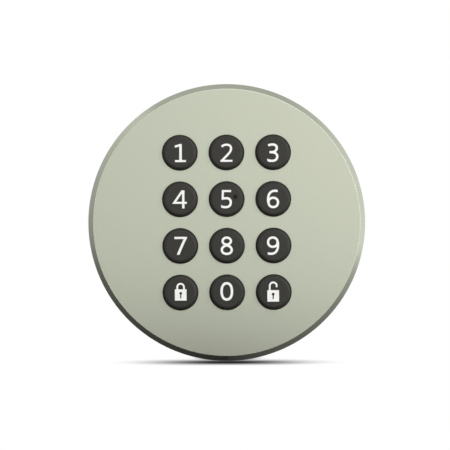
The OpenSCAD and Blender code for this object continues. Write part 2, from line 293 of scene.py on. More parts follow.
@dataclass(frozen=True)
class Stroke:
    """A run of ink along a centre line, in millimetres.

    Its ends are square to the line, or cut at an angle in degrees. The mitre is the least
    cosine that its bends are widened for.
    """

    pen: Pen
    width: float
    start_cut: float | None = None
    end_cut: float | None = None
    mitre: ClassVar[float] = 0.5

    def pieces(self) -> list[list[Pair]]:
        """Cuts the stroke into three-sided pieces.

        Returns:
            The pieces, each a list of three corners.
        """
        points = [Vector(p) for p in self.pen.points]
        count = len(points)
        sides = []
        for k, here in enumerate(points):
            wraps = self.pen.closed
            before = points[(k - 1) % count] if wraps or k > 0 else here
            after = points[(k + 1) % count] if wraps or k < count - 1 else here
            along = ((here - before).normalized() + (after - here).normalized()).normalized()
            reach = self.width / 2
            if here != before and here != after:
                reach /= max(self.mitre, along.dot((after - here).normalized()))
            normal = Vector((-along.y, along.x))
            cut = self.start_cut if k == 0 else self.end_cut if k == count - 1 else None
            if cut is not None and not wraps:
                edge = Vector((math.cos(math.radians(cut)), math.sin(math.radians(cut))))
                reach /= edge.dot(normal)
                normal = edge
            sides.append((here + normal * reach, here - normal * reach))
        pairs = loop_pairs(sides) if self.pen.closed else zip(sides, sides[1:])
        halves = [half for a, b in pairs for half in ((a[0], a[1], b[1]), (a[0], b[1], b[0]))]
        return [[tuple(corner) for corner in half] for half in halves]


def covers(outline: Sequence[Vector], point: Vector) -> bool:
    """Says whether a convex outline covers a point.

    Args:
        outline: The outline's corners, either way round.
        point: The point.

    Returns:
        Whether the point lies inside.
    """
    sides = [(b - a).cross(point - a) > 0 for a, b in loop_pairs(outline)]
    return all(sides) or not any(sides)


def block(left: float, bottom: float, right: float, top: float) -> list[Pair]:
    """The four corners of an upright rectangle."""
    return [(left, bottom), (right, bottom), (right, top), (left, top)]


@dataclass(frozen=True)
class Legend:
    """What is printed on a key, in millimetres from the key's centre."""

    strokes: tuple[Stroke, ...] = ()
    blocks: tuple[list[Pair], ...] = ()
    gaps: tuple[list[Pair], ...] = ()
    shift: Pair = (0.0, 0.0)

    def placed(self, outline: Sequence[Pair]) -> list[Pair]:
        """Shifts an outline to its place on the key, in metres."""
        return [((x + self.shift[0]) * MM, (y + self.shift[1]) * MM) for x, y in outline]

    def regions(self) -> tuple[list[list[Pair]], list[list[Pair]]]:
        """Collects the printed and the bare regions.

        Returns:
            The outlines that are inked and those that stay bare, in metres.
        """
        inked = [piece for stroke in self.strokes for piece in stroke.pieces()] + list(self.blocks)
        return [self.placed(o) for o in inked], [self.placed(o) for o in self.gaps]


# ---------------------------------------------------------------- meshes


def add_object(name: str, mesh: bpy.types.ID) -> bpy.types.Object:
    """Makes an object and links it to the scene.

    Args:
        name: The object's name.
        mesh: Its mesh, lamp or lens.

    Returns:
        The object.
    """
    made = bpy.data.objects.new(name, mesh)
    bpy.context.scene.collection.objects.link(made)
    return made


class MeshSketch:
    """A mesh under construction, drawn in across, up and out.

    Corners of a flat fill that are closer than its weld, in millimetres, count as one.
    """

    sheet_weld = 1e-6
    plate_weld = 1e-5

    def __init__(self) -> None:
        """Starts an empty mesh."""
        self.bm = bmesh.new()

    def vertex(self, across: float, up: float, out: float) -> Vert:
        """Adds one vertex."""
        return self.bm.verts.new(row_point(across, up, out))

    def face(self, verts: Sequence[Vert], finish: int = 0) -> None:
        """Adds one face.

        Args:
            verts: Its corners, in order.
            finish: The index of its finish.
        """
        made = self.bm.faces.new(verts)
        made.material_index = finish
        made.smooth = True

    def ring(self, centre: Pair, radius: float, out: float, count: int) -> list[Vert]:
        """Adds a ring of vertices round an axis out of the wall.

        Args:
            centre: Where the axis is, across and up.
            radius: The ring's radius. A zero radius gives the one vertex on the axis.
            out: How far from the wall it lies.
            count: How many vertices it has.

        Returns:
            The ring's vertices.
        """
        if radius <= 0:
            return [self.vertex(centre[0], centre[1], out)]
        spokes = [spoke(radius, k, count) for k in range(count)]
        return [self.vertex(centre[0] + x, centre[1] + y, out) for x, y in spokes]

    def bridge(self, first: Sequence[Vert], second: Sequence[Vert], finish: int = 0) -> None:
        """Joins two rings with faces.

        Args:
            first: One ring, or the one vertex on the axis.
            second: The next ring, or the one vertex on the axis.
            finish: The index of the faces' finish.
        """
        count = max(len(first), len(second))
        for k in range(count):
            n = (k + 1) % count
            if len(first) == 1:
                self.face([first[0], second[n], second[k]], finish)
            elif len(second) == 1:
                self.face([first[k], first[n], second[0]], finish)
            else:
                self.face([first[k], first[n], second[n], second[k]], finish)

    def turned(
        self,
        centre: Pair,
        profile: Sequence[Pair],
        count: int,
        closed: bool = False,
        finish_at: Callable[[float, float], int] | None = None,
    ) -> list[list[Vert]]:
        """Turns a profile round an axis out of the wall.

        Args:
            centre: Where the axis is, across and up.
            profile: Points as radius and out.
            count: How many vertices each ring has.
            closed: Whether the last point joins the first.
            finish_at: Gives the index of the finish at a radius and out.

        Returns:
            The rings, one for each point of the profile.
        """
        rings = [self.ring(centre, radius, out, count) for radius, out in profile]
        order = range(len(rings))
        for a, b in loop_pairs(order) if closed else zip(order, order[1:]):
            middle = (profile[a][0] + profile[b][0]) / 2, (profile[a][1] + profile[b][1]) / 2
            self.bridge(rings[a], rings[b], finish_at(*middle) if finish_at else 0)
        return rings

    def sheet(self, outer: Sequence[Vert], holes: Iterable[Sequence[Vert]]) -> None:
        """Fills the flat region between an outer ring and holes.

        Args:
            outer: The outer ring's vertices.
            holes: Each hole's vertices.
        """
        rings = [list(outer)] + [list(hole) for hole in holes]
        verts = [v for ring in rings for v in ring]
        flat = [Vector((v.co.x, v.co.z)) / MM for v in verts]
        faces, start = [], 0
        for ring in rings:
            faces.append(list(range(start, start + len(ring))))
            start += len(ring)
        _, _, tris, origin, _, inside = delaunay_2d_cdt(flat, [], faces, 1, self.sheet_weld, True)
        for tri, regions in zip(tris, inside):
            if regions == [0]:
                self.face([verts[origin[k][0]] for k in tri])

    def plate(
        self,
        inked: Sequence[list[Pair]],
        bare: Sequence[list[Pair]],
        centre: Pair,
        back: float,
        front: float,
    ) -> None:
        """Adds a thin plate over the union of some outlines, less others.

        Args:
            inked: The outlines that the plate covers. They may overlap.
            bare: The outlines that stay open.
            centre: Where the outlines' own origin lies, across and up.
            back: The plate's side towards the wall, as a distance out.
            front: The plate's side towards the room.
        """
        flat, faces = [], []
        for outline in list(inked) + list(bare):
            faces.append(list(range(len(flat), len(flat) + len(outline))))
            flat += [Vector(p) / MM for p in outline]
        points, _, tris, _, _, _ = delaunay_2d_cdt(flat, [], faces, 1, self.plate_weld, False)
        outlines = [[flat[k] for k in corners] for corners in faces]
        inks, gaps = outlines[:len(inked)], outlines[len(inked):]
        kept = []
        for tri in tris:
            middle = sum((points[k] for k in tri), Vector((0, 0))) / 3
            if any(covers(o, middle) for o in inks) and not any(covers(o, middle) for o in gaps):
                kept.append(tri)
        used = sorted({k for tri in kept for k in tri})
        layers = [
            {
                k: self.vertex(centre[0] + points[k][0] * MM, centre[1] + points[k][1] * MM, out)
                for k in used
            }
            for out in (back, front)
        ]
        for tri in kept:
            self.face([layers[1][k] for k in tri])
            self.face([layers[0][k] for k in reversed(tri)])
        edges = dict.fromkeys(edge for tri in kept for edge in loop_pairs(tri))
        for a, b in edges:
            if (b, a) not in edges:
                self.face([layers[0][a], layers[0][b], layers[1][b], layers[1][a]])

    def rod(self, path: Sequence[Vector], radius: float, sides: int) -> None:
        """Sweeps a round rod along a path in the row's own frame, with flat ends.

        Args:
            path: The points of its centre line.
            radius: Its radius.
            sides: How many sides it has.
        """
        rings = []
        normal = (path[1] - path[0]).orthogonal().normalized()
        for k, here in enumerate(path):
            along = (path[min(k + 1, len(path) - 1)] - path[max(k - 1, 0)]).normalized()
            normal = (normal - along * normal.dot(along)).normalized()
            across = along.cross(normal)
            spokes = [spoke(radius, j, sides) for j in range(sides)]
            rings.append([self.bm.verts.new(here + normal * x + across * y) for x, y in spokes])
        for first, second in zip(rings, rings[1:]):
            self.bridge(first, second)
        self.face(rings[0])
        self.face(list(reversed(rings[-1])))

    def finished(
        self, name: str, finishes: Sequence["Finish"], sharp: float = 32.0
    ) -> bpy.types.Object:
        """Turns the sketch into an object.

        Args:
            name: The piece's name.
            finishes: Its finishes, in the order of their indexes.
            sharp: Edges that bend more than this many degrees stay sharp.

        Returns:
            The new object, linked to the scene.
        """
        bmesh.ops.recalc_face_normals(self.bm, faces=self.bm.faces)
        mesh = bpy.data.meshes.new(name)
        self.bm.to_mesh(mesh)
        self.bm.free()
        mesh.set_sharp_from_angle(angle=math.radians(sharp))
        for finish in finishes:
            mesh.materials.append(finish.material())
        return add_object(name, mesh)


# ---------------------------------------------------------------- finishes


def graded(tree: Tree, value: Socket, source: Pair, result: Pair) -> Socket:
    """Adds a node that maps a value from one range onto another.

    Args:
        tree: The nodes that it joins.
        value: The value.
        source: The value's low and high end.
        result: What the two ends become.

    Returns:
        The mapped value.
    """
    node = tree.nodes.new("ShaderNodeMapRange")
    for socket, number in zip(("From Min", "From Max", "To Min", "To Max"), (*source, *result)):
        node.inputs[socket].default_value = number
    tree.links.new(value, node.inputs["Value"])
    return node.outputs["Result"]


def combined(tree: Tree, operation: str, *values: Socket) -> Socket:
    """Adds a maths node.

    Args:
        tree: The nodes that it joins.
        operation: What it does.
        values: What it does it to.

    Returns:
        The outcome.
    """
    node = tree.nodes.new("ShaderNodeMath")
    node.operation = operation
    for value, socket in zip(values, node.inputs):
        tree.links.new(value, socket)
    return node.outputs[0]


class Recipe:
    """A material's nodes round one Principled shader, with short calls that add to them."""

    def __init__(self, name: str) -> None:
        """Starts a material whose textures are placed by the object's own coordinates.

        Args:
            name: The material's name.
        """
        self.material = bpy.data.materials.new(name)
        self.material.use_nodes = True
        self.tree = self.material.node_tree
        self.shader = self.tree.nodes["Principled BSDF"]
        self.place = self.tree.nodes.new("ShaderNodeTexCoord").outputs["Object"]

    def set(self, **values: float) -> "Recipe":
        """Sets the shader's own sockets.

        Args:
            values: Socket names, with underscores for spaces, and their values.

        Returns:
            The recipe itself.
        """
        for key, value in values.items():
            self.shader.inputs[key.replace("_", " ")].default_value = value
        return self

    def feed(self, value: Socket, socket: str) -> "Recipe":
        """Links a value to one of the shader's sockets."""
        self.tree.links.new(value, self.shader.inputs[socket])
        return self

    def mapped(self, texture: str, **settings: Triple) -> bpy.types.Node:
        """Adds a texture that is laid on the object's own coordinates.

        Args:
            texture: The type of its node.
            settings: The mapping's own sockets and their values.

        Returns:
            The texture's node.
        """
        mapping = self.tree.nodes.new("ShaderNodeMapping")
        for socket, value in settings.items():
            mapping.inputs[socket].default_value = value
        self.tree.links.new(self.place, mapping.inputs["Vector"])
        node = self.tree.nodes.new(texture)
        self.tree.links.new(mapping.outputs["Vector"], node.inputs["Vector"])
        return node

    def noise(
        self, size: float, detail: float = 2.0, roughness: float = 0.5, stretch: Triple = (1, 1, 1)
    ) -> Socket:
        """Adds a noise texture.

        Args:
            size: The size of its features, in metres.
            detail: How many finer layers it has.
            roughness: How strong the finer layers are.
            stretch: How much finer it is along each axis.

        Returns:
            The texture's value.
        """
        node = self.mapped("ShaderNodeTexNoise", Scale=stretch)
        node.inputs["Scale"].default_value = 1 / size
        node.inputs["Detail"].default_value = detail
        node.inputs["Roughness"].default_value = roughness
        return node.outputs["Fac"]

    def span(self, value: Socket, result: Pair = (0.0, 1.0), source: Pair = (0.3, 0.7)) -> Socket:
        """Maps a range of a value, or the one that a noise mostly keeps to, onto another."""
        return graded(self.tree, value, source, result)

    def colour(self, share: Socket, first: Colour, second: Colour) -> "Recipe":
        """Blends the base colour from two colours.

        Args:
            share: The share of the second colour.
            first: The first colour.
            second: The second colour.

        Returns:
            The recipe itself.
        """
        node = self.tree.nodes.new("ShaderNodeMix")
        node.data_type = "RGBA"
        ends = {"A_Color": first, "B_Color": second}
        for socket in node.inputs:
            if socket.identifier in ends:
                socket.default_value = (*ends[socket.identifier], 1.0)
        self.tree.links.new(share, node.inputs["Factor"])
        mixed = next(socket for socket in node.outputs if socket.identifier == "Result_Color")
        return self.feed(mixed, "Base Color")

    def tint(self, value: Socket, colour: Colour, tones: Pair) -> "Recipe":
        """Lets the base colour wander between two tones of one colour.

        Args:
            value: Where it wanders, from 0 to 1.
            colour: The colour.
            tones: How bright the colour is at 0 and at 1, as factors.

        Returns:
            The recipe itself.
        """
        return self.colour(value, *(tuple(part * tone for part in colour) for tone in tones))

    def rough(self, value: Socket, ends: Pair) -> "Recipe":
        """Lets the roughness follow a noise from one end to the other."""
        return self.feed(self.span(value, ends), "Roughness")

    def bumps(self, *layers: tuple[Socket, float, float]) -> "Recipe":
        """Adds fine relief.

        Args:
            layers: For each layer its height value, its depth in metres, and its strength.

        Returns:
            The recipe itself.
        """
        last = None
        for height, depth, strength in layers:
            node = self.tree.nodes.new("ShaderNodeBump")
            node.inputs["Distance"].default_value = depth
            node.inputs["Strength"].default_value = strength
            self.tree.links.new(height, node.inputs["Height"])
            if last is not None:
                self.tree.links.new(last, node.inputs["Normal"])
            last = node.outputs["Normal"]
        return self.feed(last, "Normal")


@dataclass(frozen=True)
class Finish:
    """A surface finish. Each kind writes its own recipe.

    Tones are factors on the colour, and roughness has a low and a high end.
    """

    name: str

    @property
    def label(self) -> str:
        """The material's name, unlike that of any slot in the record."""
        return f"{self.name}_finish"

    def recipe(self) -> Recipe:
        """Writes the material's nodes."""
        raise NotImplementedError

    def material(self) -> bpy.types.Material:
        """Gives the finish's material, made once."""
        return bpy.data.materials.get(self.label) or self.recipe().material


@dataclass(frozen=True)
class BlastedMetal(Finish):
    """Bead-blasted and anodised metal, with a fine even grain."""

    colour: Colour
    tones: Pair = (0.93, 1.07)
    roughness: Pair = (0.43, 0.49)
    grain: float = 0.30 * MM
    depth: float = 0.010 * MM

    def recipe(self) -> Recipe:
        """Writes the material's nodes.

        Returns:
            The finished recipe.
        """
        made = Recipe(self.label).set(Metallic=1.0)
        fine = made.noise(self.grain, 3.0, 0.6)
        made.tint(made.span(fine), self.colour, self.tones).rough(fine, self.roughness)
        return made.bumps((fine, self.depth, 0.5))


@dataclass(frozen=True)
class TurnedMetal(Finish):
    """Metal turned bright on a lathe after blasting, with the faint rings of the tool."""

    colour: Colour
    tones: Pair = (0.97, 1.0)
    roughness: Pair = (0.22, 0.30)
    feed: float = 0.12 * MM
    depth: float = 0.002 * MM
    patch: float = 6 * MM

    def recipe(self) -> Recipe:
        """Writes the material's nodes.

        Returns:
            The finished recipe.
        """
        made = Recipe(self.label).set(Metallic=1.0)
        rings = made.noise(self.feed, 1.0, stretch=(0.0, 1.0, 0.0))
        patches = made.noise(self.patch)
        made.tint(made.span(patches), self.colour, self.tones).rough(patches, self.roughness)
        return made.bumps((rings, self.depth, 0.15))


@dataclass(frozen=True)
class Silicone(Finish):
    """Matte moulded silicone, with the fine grain of a spark-eroded mould."""

    colour: Colour
    tones: Pair = (1.0, 1.18)
    roughness: Pair = (0.52, 0.62)
    gloss: float = 0.3
    grain: float = 0.12 * MM
    depth: float = 0.012 * MM
    dust: float = 1.8 * MM

    def recipe(self) -> Recipe:
        """Writes the material's nodes.

        Returns:
            The finished recipe.
        """
        made = Recipe(self.label).set(IOR=1.42, Specular_IOR_Level=self.gloss)
        fine = made.noise(self.grain, 3.0, 0.6)
        dust = made.noise(self.dust, 3.0, 0.6)
        made.tint(made.span(dust, source=(0.35, 0.75)), self.colour, self.tones)
        return made.rough(dust, self.roughness).bumps((fine, self.depth, 0.35))


@dataclass(frozen=True)
class Ink(Finish):
    """A printed legend under a matte coat."""

    colour: Colour
    tones: Pair = (0.96, 1.0)
    roughness: Pair = (0.5, 0.6)
    mesh: float = 0.1 * MM
    depth: float = 0.004 * MM

    def recipe(self) -> Recipe:
        """Writes the material's nodes.

        Returns:
            The finished recipe.
        """
        made = Recipe(self.label).set(IOR=1.45)
        screen = made.noise(self.mesh)
        made.tint(made.span(screen), self.colour, self.tones).rough(screen, self.roughness)
        return made.bumps((screen, self.depth, 0.2))


@dataclass(frozen=True)
class MouldedPlastic(Finish):
    """Moulded plastic with a leathery texture from its mould."""

    colour: Colour
    tones: Pair = (1.0, 1.25)
    roughness: Pair = (0.42, 0.58)
    grain: float = 0.25 * MM
    depth: float = 0.02 * MM
    flow: float = 14 * MM

    def recipe(self) -> Recipe:
        """Writes the material's nodes.

        Returns:
            The finished recipe.
        """
        made = Recipe(self.label).set(IOR=1.5)
        fine = made.noise(self.grain, 4.0, 0.65)
        flow = made.noise(self.flow)
        made.tint(made.span(flow), self.colour, self.tones).rough(fine, self.roughness)
        return made.bumps((fine, self.depth, 0.3))


@dataclass(frozen=True)
class SolderMask(Finish):
    """Lacquered glass-fibre board, with a hatched copper ground under the lacquer."""

    mask: Colour = (0.012, 0.10, 0.045)
    over_copper: Colour = (0.03, 0.20, 0.075)
    pitch: float = 1.27 * MM
    line: float = 0.2 * MM
    copper: float = 0.03 * MM
    weave: float = 0.5 * MM
    depth: float = 0.01 * MM

    def recipe(self) -> Recipe:
        """Writes the material's nodes.

        Returns:
            The finished recipe.
        """
        made = Recipe(self.label).set(IOR=1.52, Coat_Weight=0.4, Coat_Roughness=0.12)
        slant = (math.radians(90), 0, math.radians(45))
        hatch = made.mapped("ShaderNodeTexBrick", Rotation=slant)
        hatch.offset = 0.0
        hatch.inputs["Scale"].default_value = 1.0
        hatch.inputs["Mortar Size"].default_value = self.line
        for side in ("Brick Width", "Row Height"):
            hatch.inputs[side].default_value = self.pitch
        weave = made.noise(self.weave, 1.0)
        lines = hatch.outputs["Fac"]
        made.colour(lines, self.mask, self.over_copper).rough(weave, (0.22, 0.34))
        return made.bumps((lines, self.copper, 0.5), (weave, self.depth, 0.3))


@dataclass(frozen=True)
class PlatedMetal(Finish):
    """Plated sheet or wire, with fine drawing lines and faint stains."""

    colour: Colour
    tones: Pair = (0.88, 1.0)
    roughness: Pair = (0.25, 0.4)
    line: float = 0.08 * MM
    depth: float = 0.004 * MM
    stain: float = 2.5 * MM

    def recipe(self) -> Recipe:
        """Writes the material's nodes.

        Returns:
            The finished recipe.
        """
        made = Recipe(self.label).set(Metallic=1.0)
        lines = made.noise(self.line, 2.0, 0.6, stretch=(1.0, 1.0, 0.08))
        stains = made.noise(self.stain, 3.0, 0.6)
        made.tint(made.span(stains), self.colour, self.tones).rough(lines, self.roughness)
        return made.bumps((lines, self.depth, 0.3))


@dataclass(frozen=True)
class Epoxy(Finish):
    """Moulded epoxy or fired ceramic, dull and slightly mottled."""

    colour: Colour
    tones: Pair = (1.0, 1.3)
    roughness: Pair = (0.5, 0.7)
    grit: float = 0.15 * MM
    depth: float = 0.01 * MM

    def recipe(self) -> Recipe:
        """Writes the material's nodes.

        Returns:
            The finished recipe.
        """
        made = Recipe(self.label).set(IOR=1.5)
        grit = made.noise(self.grit, 3.0, 0.6)
        made.tint(made.span(grit), self.colour, self.tones).rough(grit, self.roughness)
        return made.bumps((grit, self.depth, 0.3))


@dataclass(frozen=True)
class CellJacket(Finish):
    """A cell's plain printed jacket, with bare steel at its ends."""

    colour: Colour = (0.10, 0.12, 0.14)
    steel: Colour = (0.62, 0.62, 0.60)
    jacket_half: float = 19.5 * MM
    jacket_edge: float = 0.05 * MM
    scuff: float = 0.6 * MM
    depth: float = 0.004 * MM

    def recipe(self) -> Recipe:
        """Writes the material's nodes.

        Returns:
            The finished recipe.
        """
        made = Recipe(self.label)
        split = made.tree.nodes.new("ShaderNodeSeparateXYZ")
        made.tree.links.new(made.place, split.inputs["Vector"])
        height = combined(made.tree, "ABSOLUTE", split.outputs["Z"])
        edge = (self.jacket_half, self.jacket_half + self.jacket_edge)
        bare = made.span(height, source=edge)
        scuffs = made.noise(self.scuff, 4.0, 0.65)
        made.colour(bare, self.colour, self.steel).feed(bare, "Metallic")
        return made.rough(scuffs, (0.22, 0.42)).bumps((scuffs, self.depth, 0.25))


FACE_METAL = BlastedMetal("blasted_aluminium", colour=(0.421, 0.440, 0.357))
EDGE_METAL = TurnedMetal("turned_aluminium", colour=(0.50, 0.525, 0.43))
KEY_SILICONE = Silicone("key_silicone", colour=(0.0215, 0.0203, 0.0165), gloss=0.40)
# The pip's silicone is painted far darker than the key's, as painted shade for the shaded side of
# its dome.
PIP_PAINTED_SHADE = Silicone("pip_painted_shade", colour=(0.005, 0.005, 0.004), roughness=(0.45, 0.55))
MAT_SILICONE = Silicone("mat_silicone", colour=(0.025, 0.025, 0.026))
SEAL_RUBBER = Silicone("seal_rubber", colour=(0.02, 0.02, 0.02), roughness=(0.35, 0.45))
CARBON = Silicone("carbon_rubber", colour=(0.008, 0.008, 0.008), roughness=(0.6, 0.8))
LEGEND_INK = Ink("legend_ink", colour=(0.87, 0.87, 0.845))
BLACK_PLASTIC = MouldedPlastic("black_plastic", colour=(0.03, 0.031, 0.034))
TRAY_PLASTIC = MouldedPlastic("tray_plastic", colour=(0.045, 0.046, 0.05))
FRAME_PLASTIC = MouldedPlastic("frame_plastic", colour=(0.06, 0.065, 0.07))
BOARD_MASK = SolderMask("board_mask")
GOLD = PlatedMetal("gold_plate", colour=(0.86, 0.62, 0.26), roughness=(0.22, 0.32))
TIN = PlatedMetal("tin_plate", colour=(0.66, 0.66, 0.65))
NICKEL = PlatedMetal("nickel_plate", colour=(0.70, 0.67, 0.60), roughness=(0.18, 0.3))
ZINC = PlatedMetal("zinc_plate", colour=(0.58, 0.60, 0.64), roughness=(0.2, 0.34))
CHIP_EPOXY = Epoxy("chip_epoxy", colour=(0.012, 0.012, 0.013))
CERAMIC = Epoxy("capacitor_ceramic", colour=(0.42, 0.25, 0.10), roughness=(0.3, 0.45))
CELL = CellJacket("cell_jacket")


def place_piece(piece: bpy.types.Object, body: str, slot: str, *replaced: str) -> None:
    """Lets a piece ride on a body and stand for CAD nodes.

    Args:
        piece: The piece, in its place at rest.
        body: The body that it rides on.
        slot: The record's material slot. Not used.
        replaced: The CAD nodes that it stands for.
    """
    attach(piece, body)
    if replaced:
        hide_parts(*replaced)
    LOG.info("%s rides on %s", piece.name, body)


def dress(node: str, finish: Finish) -> None:
    """Gives a CAD node its finish.

    Args:
        node: The node's name.
        finish: The finish for all of its slots.
    """
    for slot in frame["nodes"][node].material_slots:
        slot.material = finish.material()
    LOG.info("%s is dressed in %s", node, finish.name)


# ---------------------------------------------------------------- front


@dataclass
class Housing:
    """The turned aluminium cup with twelve key holes."""

    chamfer: float = 1.4 * MM
    edge: float = 0.25 * MM
    rear_edge: float = 0.3 * MM
    bore_edge: float = 0.15 * MM
    wall: float = 1.6 * MM
    plate: float = 2.0 * MM
    key_gap: float = 0.15 * MM
    hole_edge: float = 0.14 * MM
    hole_margin: float = 0.1 * MM
    boss_radius: float = 2.6 * MM
    boss_bore: float = 1.0 * MM
    boss_at: Pair = (24 * MM, 17 * MM)
    bite: float = 0.05 * MM
    rib: Pair = (2.0 * MM, 1.6 * MM)
    rim_steps: int = 288
    hole_steps: int = 84
    hole_edge_steps: int = 5
    boss_steps: int = 36

    def build(self) -> bpy.types.Object:
        """Builds the cup with its chamfer, key holes and screw bosses.

        Returns:
            The housing.
        """
        size = Extent.of("front_housing")
        radius, face, rear = size.radius, size.front, size.back
        ceiling = face - self.plate
        sketch = MeshSketch()
        rings = sketch.turned(
            (0, 0),
            self.rim_profile(radius, face, rear, ceiling),
            self.rim_steps,
            finish_at=self.finish_map(radius, face),
        )
        fronts, backs = [], []
        for key in KeyName:
            key_size = Extent.of(key.node)
            hole = key_size.radius + self.key_gap
            profile = softened([
                (hole + self.hole_edge + self.hole_margin, face, 0),
                (hole, face, self.hole_edge),
                (hole, ceiling, 0),
            ], self.hole_edge_steps)
            hole_rings = sketch.turned(key_size.centre, profile, self.hole_steps)
            fronts.append(hole_rings[0])
            backs.append(hole_rings[-1])
        sketch.sheet(rings[-1], fronts)
        sketch.sheet(rings[0], backs)
        self.add_bosses(sketch, ceiling)
        self.add_rib(sketch, radius - self.wall, ceiling)
        return sketch.finished("housing_shell", [FACE_METAL, EDGE_METAL])

    def rim_profile(self, radius: float, face: float, rear: float, ceiling: float) -> list[Pair]:
        """Draws the cup's half section from the corner inside round to the flat face.

        Args:
            radius: The housing's outside radius.
            face: Its front face, as a distance out.
            rear: Its open end.
            ceiling: The back of the face plate.

        Returns:
            The profile as radius and out.
        """
        bore = radius - self.wall
        return softened([
            (bore, ceiling, 0),
            (bore, rear, self.bore_edge),
            (radius, rear, self.rear_edge),
            (radius, face - self.chamfer, self.edge),
            (radius - self.chamfer, face, self.edge),
            (radius - 2 * self.chamfer, face, 0),
        ])

    def finish_map(self, radius: float, face: float) -> Callable[[float, float], int]:
        """Says where the bright chamfer is.

        Args:
            radius: The housing's outside radius.
            face: Its front face, as a distance out.

        Returns:
            A function that gives 1 on the chamfer and 0 elsewhere.
        """
        slack = 0.06 * MM
        return lambda r, out: int(
            r > radius - self.chamfer - 2 * slack and out > face - self.chamfer - slack
        )

    def add_bosses(self, sketch: MeshSketch, ceiling: float) -> None:
        """Adds the four screw bosses under the face plate.

        Args:
            sketch: The housing's mesh.
            ceiling: The back of the face plate.
        """
        foot = Extent.of("circuit_board").front
        for side in (-1, 1):
            for level in (-1, 1):
                sketch.turned(
                    (side * self.boss_at[0], level * self.boss_at[1]),
                    [
                        (self.boss_bore, foot), (self.boss_radius, foot),
                        (self.boss_radius, ceiling + self.bite),
                        (self.boss_bore, ceiling + self.bite),
                    ],
                    self.boss_steps,
                    closed=True,
                )

    def add_rib(self, sketch: MeshSketch, bore: float, ceiling: float) -> None:
        """Adds the rib at the bottom that turns the board the right way round.

        Args:
            sketch: The housing's mesh.
            bore: The cup's inside radius.
            ceiling: The back of the face plate.
        """
        width, reach = self.rib
        rib = block(-width / 2, -bore - self.bite, width / 2, reach - bore)
        sketch.plate([rib], [], (0, 0), Extent.of("circuit_board").back, ceiling + self.bite)


